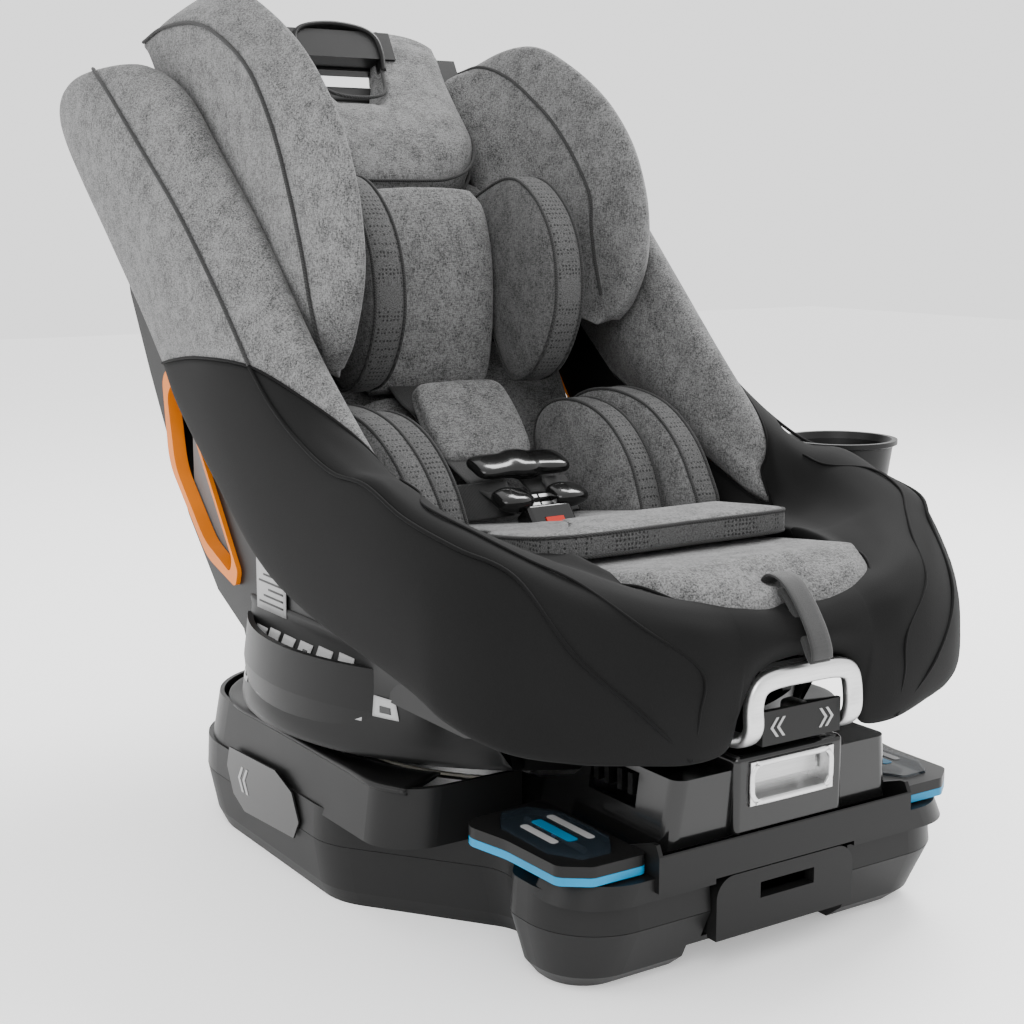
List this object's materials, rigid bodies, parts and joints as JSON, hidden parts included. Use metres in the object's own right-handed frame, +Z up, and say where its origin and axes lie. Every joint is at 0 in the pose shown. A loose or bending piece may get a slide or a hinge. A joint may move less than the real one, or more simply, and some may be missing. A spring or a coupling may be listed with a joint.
{
  "type": "convertible car seat",
  "caption": "Rotating convertible child car seat: padded bucket with wings, headrest and harness on a ball-bearing turntable, reclining on a moulded base.",
  "frame": {"origin": "on the turntable's axis at the underside of the base", "axes": "+Z up, the seated child faces -Y at rest, the child's left is +X"},
  "size_m": [0.567, 0.827, 0.7326],
  "materials": {
    "black_plastic": "fine grain",
    "dark_plastic": "moulded",
    "gloss_black": "polished",
    "cyan_plastic": "satin",
    "clear_lens": "clear",
    "blue_ball": "polished",
    "rubber": "matte",
    "zinc_steel": "zinc plated",
    "cage_plastic": "natural nylon",
    "satin_silver": "satin",
    "grey_plastic": "satin",
    "anchor_black": "polished",
    "orange_plastic": "satin",
    "liner_grey": "satin",
    "foam": "bead foam",
    "black_knit": "knit",
    "heather_grey": "heather weave",
    "webbing": "twill webbing",
    "red_plastic": "polished"
  },
  "bodies": {
    "base": {"base_lower_tray": "dark_plastic", "base_upper_housing": "black_plastic", "recline_track": "dark_plastic", "belt_guides": "black_plastic", "belt_guide_trims": "cyan_plastic", "level_windows": "clear_lens", "rubber_pads": "rubber", "base_screws": "zinc_steel"},
    "drawer": {"storage_drawer": "black_plastic"},
    "level_ball_left": {"level_ball_left": "blue_ball"},
    "level_ball_right": {"level_ball_right": "blue_ball"},
    "cradle": {"cradle_tray": "black_plastic", "cradle_runners": "dark_plastic", "lower_race_ring": "zinc_steel", "bearing_balls": "zinc_steel", "bearing_cage": "cage_plastic", "turntable_spindle": "zinc_steel", "swivel_lock_ring": "zinc_steel", "cradle_block": "gloss_black", "recline_bezel": "satin_silver"},
    "recline_lever": {"recline_lever": "zinc_steel"},
    "recline_pawl": {"recline_pawl": "grey_plastic"},
    "anchor_left": {"anchor_connector_left": "anchor_black"},
    "anchor_right": {"anchor_connector_right": "anchor_black"},
    "seat": {"upper_race_ring": "zinc_steel", "seat_base_plate": "zinc_steel", "seat_shell": "black_plastic", "shell_rear_cover": "black_plastic", "belt_path_frames": "orange_plastic", "belt_path_liners": "liner_grey", "turn_plate": "black_plastic", "impact_foam": "foam", "back_pad": "heather_grey", "shoulder_covers": "heather_grey", "bolster_left": "black_knit", "bolster_right": "black_knit", "seat_cushion": "heather_grey", "hip_pads": "heather_grey", "insert_wedge": "heather_grey", "insert_back_pad": "heather_grey", "headrest_rods": "zinc_steel", "height_rack": "zinc_steel", "harness_webbing": "webbing", "chest_pad": "heather_grey", "buckle": "gloss_black", "buckle_tongues": "satin_silver", "harness_adjuster": "dark_plastic", "adjuster_strap": "webbing"},
    "turn_handle": {"turn_handle": "satin_silver"},
    "swivel_pin": {"swivel_lock_pin": "zinc_steel"},
    "cup_holder": {"cup_holder": "black_plastic"},
    "headrest": {"headrest_shell": "black_plastic", "headrest_wings": "heather_grey", "headrest_pad": "heather_grey", "head_pillow": "heather_grey"},
    "headrest_grip": {"headrest_grip": "grey_plastic"},
    "headrest_lock": {"headrest_lock_bar": "zinc_steel"},
    "chest_clip": {"chest_clip": "gloss_black"},
    "buckle_button": {"buckle_button": "red_plastic"},
    "adjuster_lever": {"adjuster_lever": "grey_plastic"}
  },
  "joints": [
    {"name": "recline", "type": "hinge", "parent": "base", "child": "cradle", "pos_m": [0, -0.13, 0.52], "axis": [1, 0, 0], "range_deg": [0, 10]},
    {"name": "swivel", "type": "hinge", "parent": "cradle", "child": "seat", "pos_m": [0, 0, 0.1], "axis": [0, 0, 1], "range_deg": [-180, 180]},
    {"name": "drawer_slide", "type": "slide", "parent": "base", "child": "drawer", "axis": [0, -1, 0], "range_m": [0, 0.09]},
    {"name": "level_ball_left_roll", "type": "slide", "parent": "base", "child": "level_ball_left", "axis": [0, 1, 0], "range_m": [-0.033, 0.033]},
    {"name": "level_ball_right_roll", "type": "slide", "parent": "base", "child": "level_ball_right", "axis": [0, 1, 0], "range_m": [-0.033, 0.033]},
    {"name": "recline_lever_pull", "type": "hinge", "parent": "cradle", "child": "recline_lever", "pos_m": [0, -0.3344, 0.1496], "axis": [1, 0, 0], "range_deg": [0, 20], "stiffness_Nm_per_rad": 0.3},
    {"name": "recline_pawl_lift", "type": "slide", "parent": "cradle", "child": "recline_pawl", "axis": [0, 0, 1], "range_m": [0, 0.008]},
    {"name": "anchor_left_slide", "type": "slide", "parent": "cradle", "child": "anchor_left", "axis": [1, 0, 0], "range_m": [0, 0.04]},
    {"name": "anchor_right_slide", "type": "slide", "parent": "cradle", "child": "anchor_right", "axis": [-1, 0, 0], "range_m": [0, 0.04]},
    {"name": "turn_handle_pull", "type": "slide", "parent": "seat", "child": "turn_handle", "axis": [0, -1, 0], "range_m": [0, 0.012], "stiffness_N_per_m": 500},
    {"name": "swivel_pin_lift", "type": "slide", "parent": "seat", "child": "swivel_pin", "axis": [0, 0, 1], "range_m": [0, 0.0097]},
    {"name": "cup_holder_lift", "type": "slide", "parent": "seat", "child": "cup_holder", "axis": [0, 0, 1], "range_m": [0, 0.08]},
    {"name": "headrest_height", "type": "slide", "parent": "seat", "child": "headrest", "axis": [0, 0.4848, 0.8746], "range_m": [0, 0.15]},
    {"name": "headrest_grip_lift", "type": "slide", "parent": "headrest", "child": "headrest_grip", "axis": [0, 0.4848, 0.8746], "range_m": [0, 0.01], "stiffness_N_per_m": 300},
    {"name": "headrest_lock_draw", "type": "slide", "parent": "headrest", "child": "headrest_lock", "axis": [0, -0.8746, 0.4848], "range_m": [0, 0.0031]},
    {"name": "chest_clip_slide", "type": "slide", "parent": "seat", "child": "chest_clip", "axis": [0, 0.9435, 0.3315], "range_m": [0, 0.02]},
    {"name": "buckle_button_press", "type": "slide", "parent": "seat", "child": "buckle_button", "axis": [0, 0.766, -0.6428], "range_m": [0, 0.0035], "stiffness_N_per_m": 700},
    {"name": "adjuster_lever_press", "type": "hinge", "parent": "seat", "child": "adjuster_lever", "pos_m": [0, -0.313, 0.211], "axis": [1, 0, 0], "range_deg": [0, 8], "stiffness_Nm_per_rad": 0.3}
  ],
  "couplings": [
    {"joint": "recline_pawl_lift", "follows": "recline_lever_pull", "m_per_rad": 0.0229},
    {"joint": "swivel_pin_lift", "follows": "turn_handle_pull", "ratio": 0.8},
    {"joint": "headrest_lock_draw", "follows": "headrest_grip_lift", "ratio": 0.3}
  ]
}
